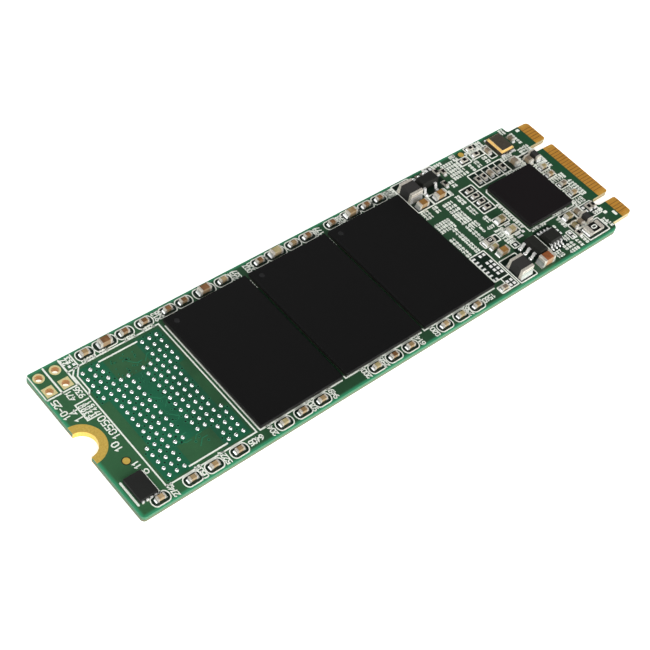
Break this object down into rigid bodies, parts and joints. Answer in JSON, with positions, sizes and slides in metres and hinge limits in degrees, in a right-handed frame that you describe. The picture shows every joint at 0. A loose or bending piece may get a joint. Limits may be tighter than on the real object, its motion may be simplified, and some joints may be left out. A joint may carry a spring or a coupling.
{
  "type": "solid state drive",
  "caption": "Thin card solid state drive with a keyed gold edge connector, a half-round screw notch at the far end, and flash and controller chips on its upper side.",
  "frame": {"origin": "centre of the board's outline, on its underside", "axes": "+X runs along the board out of the edge connector, +Y towards the connector side with the six-finger group, +Z out of the component side"},
  "size_m": [0.08, 0.022, 0.0023],
  "materials": {
    "glass_epoxy_laminate": "satin, resin-rich edge",
    "green_solder_mask": "semi-gloss epoxy over copper",
    "gold_plate": "satin gold plate over nickel",
    "copper_land": "plated copper",
    "solder": "bright tin alloy",
    "package_laminate": "dark laminate, satin",
    "black_mould_compound": "fine matt mould finish",
    "silicon": "polished",
    "capacitor_ceramic": "fired, semi-gloss",
    "tin_plate": "matt tin plate",
    "ferrite": "dark grey, matt",
    "enamelled_copper": "enamelled winding",
    "white_alumina": "fired alumina, matt",
    "black_glaze": "glossy black glaze",
    "crystal_base_ceramic": "fired ceramic, matt",
    "crystal_lid_metal": "warm nickel-gold plate",
    "quartz": "polished quartz"
  },
  "bodies": {
    "root": {"mounting_notch_plating": "gold_plate", "debug_header_eyelets": "gold_plate", "ball_lands": "copper_land", "bare_tinned_lands": "solder", "bottom_contact_fingers": "gold_plate", "bottom_solder_mask": "green_solder_mask", "chip_part_solder_joints": "solder", "component_lands": "copper_land", "controller_capacitor_bodies": "capacitor_ceramic", "controller_capacitor_metal_ends": "tin_plate", "controller_die": "silicon", "controller_laminate": "package_laminate", "controller_mould_cap": "black_mould_compound", "controller_solder_balls": "solder", "core_regulator_body": "black_mould_compound", "core_regulator_leads": "tin_plate", "crystal_base": "crystal_base_ceramic", "crystal_lid": "crystal_lid_metal", "crystal_mounting_shelf": "crystal_base_ceramic", "crystal_quartz_blank": "quartz", "crystal_seal_ring": "crystal_lid_metal", "crystal_solder": "solder", "far_row_capacitor_bodies": "capacitor_ceramic", "far_row_capacitor_metal_ends": "tin_plate", "ferrite_bead_bodies": "ferrite", "ferrite_bead_metal_ends": "tin_plate", "fiducials": "gold_plate", "firmware_chip_body": "black_mould_compound", "firmware_chip_pads": "tin_plate", "flash_chip_1_dies": "silicon", "flash_chip_1_laminate": "package_laminate", "flash_chip_1_mould_cap": "black_mould_compound", "flash_chip_1_solder_balls": "solder", "flash_chip_2_dies": "silicon", "flash_chip_2_laminate": "package_laminate", "flash_chip_2_mould_cap": "black_mould_compound", "flash_chip_2_solder_balls": "solder", "flash_chip_3_dies": "silicon", "flash_chip_3_laminate": "package_laminate", "flash_chip_3_mould_cap": "black_mould_compound", "flash_chip_3_solder_balls": "solder", "flash_regulator_body": "black_mould_compound", "flash_regulator_leads": "tin_plate", "inductor_coils": "enamelled_copper", "inductor_ferrite_bodies": "ferrite", "inductor_metal_ends": "tin_plate", "load_switch_body": "black_mould_compound", "load_switch_leads": "tin_plate", "near_row_capacitor_bodies": "capacitor_ceramic", "near_row_capacitor_metal_ends": "tin_plate", "power_capacitor_bodies": "capacitor_ceramic", "power_capacitor_metal_ends": "tin_plate", "printed_board_core": "glass_epoxy_laminate", "resistor_bodies": "white_alumina", "resistor_glass_coats": "black_glaze", "resistor_metal_ends": "tin_plate", "spare_footprint_bumps": "solder", "top_contact_fingers": "gold_plate", "top_solder_mask": "green_solder_mask"}
  },
  "joints": []
}
